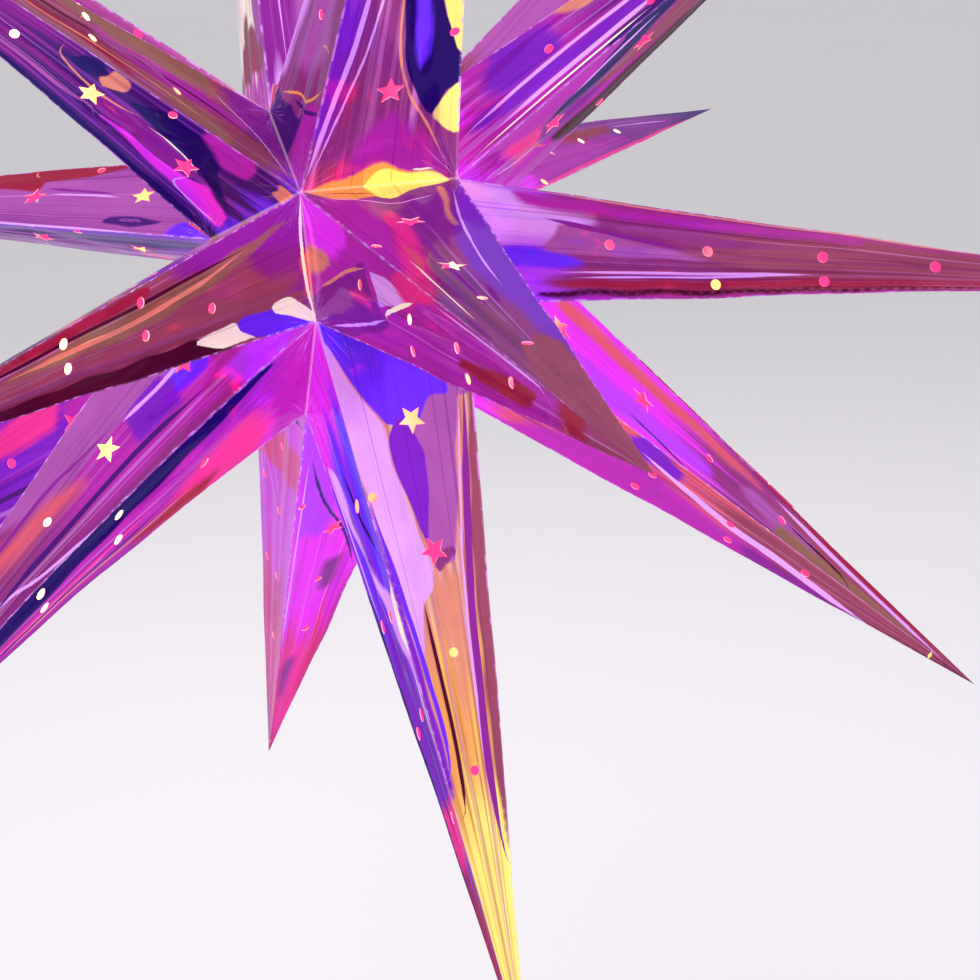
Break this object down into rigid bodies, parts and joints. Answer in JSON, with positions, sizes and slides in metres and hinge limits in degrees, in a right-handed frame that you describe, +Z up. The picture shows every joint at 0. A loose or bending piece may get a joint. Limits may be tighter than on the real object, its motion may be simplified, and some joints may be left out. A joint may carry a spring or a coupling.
{
  "type": "moravian star pendant lantern",
  "caption": "Fold-flat foil-card star lantern of long hollow pyramid spikes with star and dot cut-outs, hung by its lampholder.",
  "frame": {"origin": "mouth of the cord's bore on top of the cord grip, on the line that the star hangs from", "axes": "+Z up along the hanging cord, +X along the star's long axis to the right, -Y to the front of the star"},
  "size_m": [0.5176, 0.695, 0.6046],
  "materials": {
    "foil_card": "iridescent metallised film on card, mirror-like, lit from inside",
    "clear_plastic": "moulded, milky clear",
    "white_plastic": "moulded satin",
    "black_plastic": "moulded, heat resistant",
    "zinc_steel": "zinc plated",
    "brass": "rolled, bright",
    "solder": "tinned",
    "black_glass": "fused black glass",
    "nickel_cap": "nickel plated, rolled thread",
    "lamp_glass": "clear",
    "lamp_stem": "pressed glass",
    "light_stick": "phosphor-coated, glowing warm white"
  },
  "bodies": {
    "lampholder": {"cord_grip": "white_plastic", "grip_screw": "white_plastic", "threaded_tube": "zinc_steel", "carrier_plate": "white_plastic", "lock_nut": "zinc_steel", "holder_cap": "white_plastic", "holder_body": "white_plastic", "contact_insert": "black_plastic", "terminal_screws": "brass", "thread_shell": "brass", "middle_contact": "brass"},
    "star": {"left_spike_1": "foil_card", "left_spike_2": "foil_card", "left_spike_3": "foil_card", "left_spike_4": "foil_card", "left_spike_5": "foil_card", "left_spike_6": "foil_card", "middle_spike_1": "foil_card", "middle_spike_2": "foil_card", "middle_spike_3": "foil_card", "middle_spike_4": "foil_card", "middle_spike_5": "foil_card", "middle_spike_6": "foil_card", "right_spike_1": "foil_card", "right_spike_2": "foil_card", "right_spike_3": "foil_card", "right_spike_4": "foil_card", "right_spike_5": "foil_card", "right_spike_6": "foil_card"},
    "lamp": {"lamp_tip": "solder", "lamp_insulator": "black_glass", "lamp_cap": "nickel_cap", "lamp_glass": "lamp_glass", "lamp_stem": "lamp_stem", "light_sticks": "light_stick"},
    "clip_left": {"seam_clip_left": "clear_plastic"},
    "clip_middle_left": {"seam_clip_middle_left": "clear_plastic"},
    "clip_middle_right": {"seam_clip_middle_right": "clear_plastic"},
    "clip_right": {"seam_clip_right": "clear_plastic"}
  },
  "joints": [
    {"name": "star_turn", "type": "hinge", "parent": "lampholder", "child": "star", "pos_m": [0, 0, 0], "axis": [0, 0, 1], "continuous": true},
    {"name": "lamp_unscrew", "type": "slide", "parent": "lampholder", "child": "lamp", "axis": [0, 0, -1], "range_m": [0, 0.0085]},
    {"name": "clip_left_pull", "type": "slide", "parent": "star", "child": "clip_left", "axis": [-0.8799, 0, 0.4751], "range_m": [0, 0.007]},
    {"name": "clip_middle_left_pull", "type": "slide", "parent": "star", "child": "clip_middle_left", "axis": [0, 0, 1], "range_m": [0, 0.007]},
    {"name": "clip_middle_right_pull", "type": "slide", "parent": "star", "child": "clip_middle_right", "axis": [0, 0, 1], "range_m": [0, 0.007]},
    {"name": "clip_right_pull", "type": "slide", "parent": "star", "child": "clip_right", "axis": [0.8799, 0, 0.4751], "range_m": [0, 0.007]}
  ]
}
